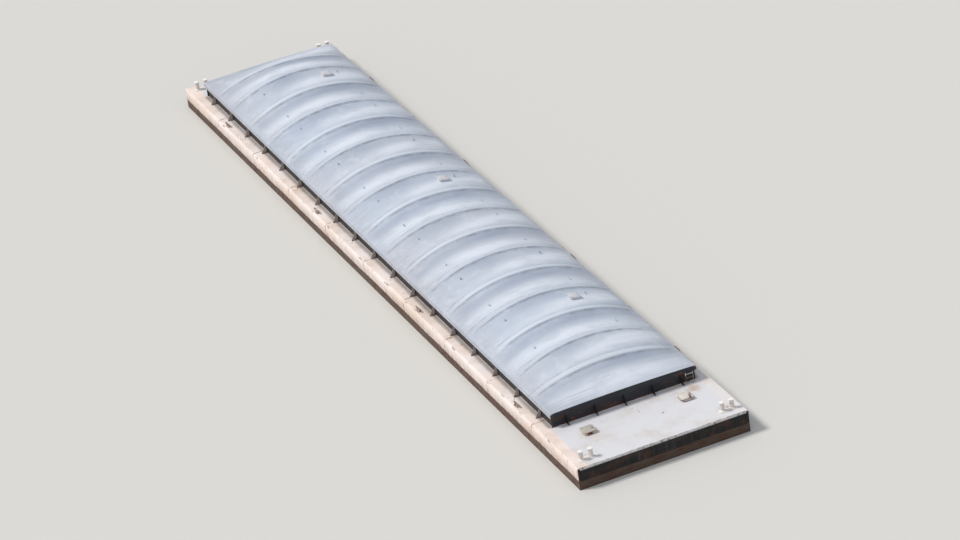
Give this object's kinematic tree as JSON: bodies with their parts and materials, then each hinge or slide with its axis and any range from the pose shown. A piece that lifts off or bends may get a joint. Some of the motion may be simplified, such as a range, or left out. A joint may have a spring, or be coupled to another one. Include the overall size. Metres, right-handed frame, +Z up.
{
  "type": "covered hopper river barge, 1:2 scale model",
  "caption": "Flat-bottomed square-ended river cargo barge with an open hopper under arched lift-off covers, side decks, mooring posts, kevels and hinged hatches.",
  "frame": {"origin": "on the flat bottom, under the middle of the barge's length and beam", "axes": "+Y towards the bow, +X to starboard, +Z up; metres of the 1:2 model"},
  "size_m": [5.334, 30.48, 3.1166],
  "materials": {
    "hull_paint": "faded, dusty paint over rust",
    "bottom_paint": "dark bottom coating with silt",
    "headlog_paint": "scraped black paint",
    "coaming_paint": "matt black paint with rust at the seams",
    "cover_fibreglass": "chalky off-white gel coat with dust streaks",
    "fitting_steel": "cream deck paint worn to rust, bright where wires rub",
    "lid_paint": "pale deck paint, stained"
  },
  "bodies": {
    "barge": {"end_tank_stern": "hull_paint", "end_tank_bow": "hull_paint", "wing_tank_port": "hull_paint", "wing_tank_starboard": "hull_paint", "sheer_strake_port": "hull_paint", "sheer_strake_starboard": "hull_paint", "double_bottom": "bottom_paint", "headlog_stern": "headlog_paint", "headlog_bow": "headlog_paint", "coaming_port": "coaming_paint", "coaming_starboard": "coaming_paint", "coaming_stern": "coaming_paint", "coaming_bow": "coaming_paint", "timberhead_stern_port": "fitting_steel", "timberhead_stern_starboard": "fitting_steel", "timberhead_bow_port": "fitting_steel", "timberhead_bow_starboard": "fitting_steel", "kevel_port_1": "fitting_steel", "kevel_port_2": "fitting_steel", "kevel_port_3": "fitting_steel", "kevel_port_4": "fitting_steel", "kevel_starboard_1": "fitting_steel", "kevel_starboard_2": "fitting_steel", "kevel_starboard_3": "fitting_steel", "kevel_starboard_4": "fitting_steel", "hatch_ring_stern_port": "fitting_steel", "hatch_ring_stern_starboard": "fitting_steel", "hatch_ring_bow_port": "fitting_steel", "hatch_ring_bow_starboard": "fitting_steel", "ladder_stern": "fitting_steel", "ladder_bow": "fitting_steel"},
    "cover_1_body": {"cover_1": "cover_fibreglass"},
    "cover_2_body": {"cover_2": "cover_fibreglass"},
    "cover_3_body": {"cover_3": "cover_fibreglass"},
    "cover_4_body": {"cover_4": "cover_fibreglass"},
    "cover_5_body": {"cover_5": "cover_fibreglass"},
    "cover_6_body": {"cover_6": "cover_fibreglass"},
    "cover_7_body": {"cover_7": "cover_fibreglass"},
    "cover_8_body": {"cover_8": "cover_fibreglass"},
    "cover_9_body": {"cover_9": "cover_fibreglass"},
    "cover_hatch_lid_2_body": {"cover_hatch_lid_2": "cover_fibreglass"},
    "cover_hatch_lid_5_body": {"cover_hatch_lid_5": "cover_fibreglass"},
    "cover_hatch_lid_8_body": {"cover_hatch_lid_8": "cover_fibreglass"},
    "hatch_lid_stern_port_body": {"hatch_lid_stern_port": "lid_paint"},
    "hatch_lid_stern_starboard_body": {"hatch_lid_stern_starboard": "lid_paint"},
    "hatch_lid_bow_port_body": {"hatch_lid_bow_port": "lid_paint"},
    "hatch_lid_bow_starboard_body": {"hatch_lid_bow_starboard": "lid_paint"}
  },
  "joints": [
    {"name": "cover_1_lift", "type": "slide", "parent": "barge", "child": "cover_1_body", "axis": [0, 0, 1], "range_m": [0, 0.84]},
    {"name": "cover_2_lift", "type": "slide", "parent": "barge", "child": "cover_2_body", "axis": [0, 0, 1], "range_m": [0, 0.84]},
    {"name": "cover_3_lift", "type": "slide", "parent": "barge", "child": "cover_3_body", "axis": [0, 0, 1], "range_m": [0, 0.84]},
    {"name": "cover_4_lift", "type": "slide", "parent": "barge", "child": "cover_4_body", "axis": [0, 0, 1], "range_m": [0, 0.84]},
    {"name": "cover_5_lift", "type": "slide", "parent": "barge", "child": "cover_5_body", "axis": [0, 0, 1], "range_m": [0, 0.84]},
    {"name": "cover_6_lift", "type": "slide", "parent": "barge", "child": "cover_6_body", "axis": [0, 0, 1], "range_m": [0, 0.84]},
    {"name": "cover_7_lift", "type": "slide", "parent": "barge", "child": "cover_7_body", "axis": [0, 0, 1], "range_m": [0, 0.84]},
    {"name": "cover_8_lift", "type": "slide", "parent": "barge", "child": "cover_8_body", "axis": [0, 0, 1], "range_m": [0, 0.84]},
    {"name": "cover_9_lift", "type": "slide", "parent": "barge", "child": "cover_9_body", "axis": [0, 0, 1], "range_m": [0, 0.84]},
    {"name": "hatch_lid_stern_port_hinge", "type": "hinge", "parent": "barge", "child": "hatch_lid_stern_port_body", "pos_m": [-1.33223, -13.5636, 2.07959], "axis": [0, 1, 0], "range_deg": [0, 105]},
    {"name": "hatch_lid_stern_starboard_hinge", "type": "hinge", "parent": "barge", "child": "hatch_lid_stern_starboard_body", "pos_m": [1.33223, -13.5636, 2.07959], "axis": [0, -1, 0], "range_deg": [0, 105]},
    {"name": "hatch_lid_bow_port_hinge", "type": "hinge", "parent": "barge", "child": "hatch_lid_bow_port_body", "pos_m": [-1.33223, 14.75232, 2.07959], "axis": [0, 1, 0], "range_deg": [0, 105]},
    {"name": "hatch_lid_bow_starboard_hinge", "type": "hinge", "parent": "barge", "child": "hatch_lid_bow_starboard_body", "pos_m": [1.33223, 14.75232, 2.07959], "axis": [0, -1, 0], "range_deg": [0, 105]},
    {"name": "cover_hatch_lid_2_hinge", "type": "hinge", "parent": "cover_2_body", "child": "cover_hatch_lid_2_body", "pos_m": [0.69465, -7.85813, 3.07455], "axis": [0, -1, 0], "range_deg": [0, 100]},
    {"name": "cover_hatch_lid_5_hinge", "type": "hinge", "parent": "cover_5_body", "child": "cover_hatch_lid_5_body", "pos_m": [0.69465, 1.58631, 3.07455], "axis": [0, -1, 0], "range_deg": [0, 100]},
    {"name": "cover_hatch_lid_8_hinge", "type": "hinge", "parent": "cover_8_body", "child": "cover_hatch_lid_8_body", "pos_m": [0.69465, 11.03076, 3.07455], "axis": [0, -1, 0], "range_deg": [0, 100]}
  ]
}
